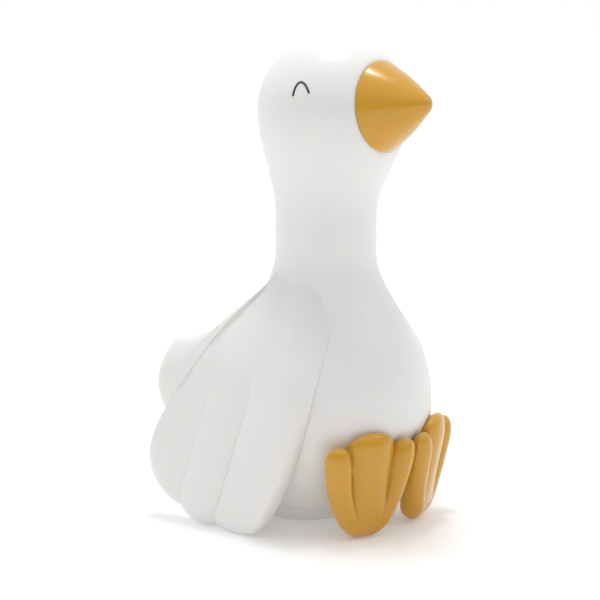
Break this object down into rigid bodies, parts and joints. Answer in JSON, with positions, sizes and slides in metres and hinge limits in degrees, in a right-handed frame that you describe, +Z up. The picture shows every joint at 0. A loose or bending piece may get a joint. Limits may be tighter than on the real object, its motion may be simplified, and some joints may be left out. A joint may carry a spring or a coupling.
{
  "type": "goose-shaped floating chlorine dispenser",
  "caption": "Seated goose float with a telescoping chlorine tablet cartridge in its base, a rotating dosing sleeve, a bayonet cap and a tether eye at the back.",
  "frame": {"origin": "centre of the flat underside, on the cartridge's axis, at the height the goose stands on", "axes": "+Z up along the cartridge's axis, the goose faces -Y, its left side is +X"},
  "size_m": [0.099, 0.1086, 0.2],
  "materials": {
    "shell": "glossy white",
    "mustard": "glossy mustard",
    "eye_black": "satin black",
    "seal_rubber": "matte dark grey",
    "steel": "stainless",
    "cup_blue": "satin pale blue",
    "tablet": "pressed powder"
  },
  "bodies": {
    "body": {"body_shell": "shell", "beak": "mustard", "left_wing": "shell", "right_wing": "shell", "left_foot": "mustard", "right_foot": "mustard", "left_eye": "eye_black", "right_eye": "eye_black", "base_plate": "shell", "base_seal": "seal_rubber", "base_screws": "steel", "well_sleeve": "cup_blue", "well_seal": "seal_rubber", "grip_ring": "seal_rubber", "ballast_ring": "steel", "ballast_clip": "steel", "tether_eye": "shell", "tether_seal": "seal_rubber", "tether_nut": "steel"},
    "cartridge": {"tablet_basket": "cup_blue", "stop_ring": "seal_rubber", "tablet_lower": "tablet", "tablet_middle": "tablet", "tablet_upper": "tablet"},
    "sleeve": {"dosing_sleeve": "cup_blue"},
    "cap": {"basket_cap": "cup_blue", "cap_gasket": "seal_rubber"}
  },
  "joints": [
    {"name": "cartridge_slide", "type": "slide", "parent": "body", "child": "cartridge", "axis": [0, 0, -1], "range_m": [0, 0.0398]},
    {"name": "dose_turn", "type": "hinge", "parent": "cartridge", "child": "sleeve", "pos_m": [0, 0, 0.02], "axis": [0, 0, 1], "range_deg": [0, 30]},
    {"name": "cap_twist", "type": "hinge", "parent": "cartridge", "child": "cap", "pos_m": [0, 0, 0.004], "axis": [0, 0, 1], "range_deg": [0, 60]}
  ]
}
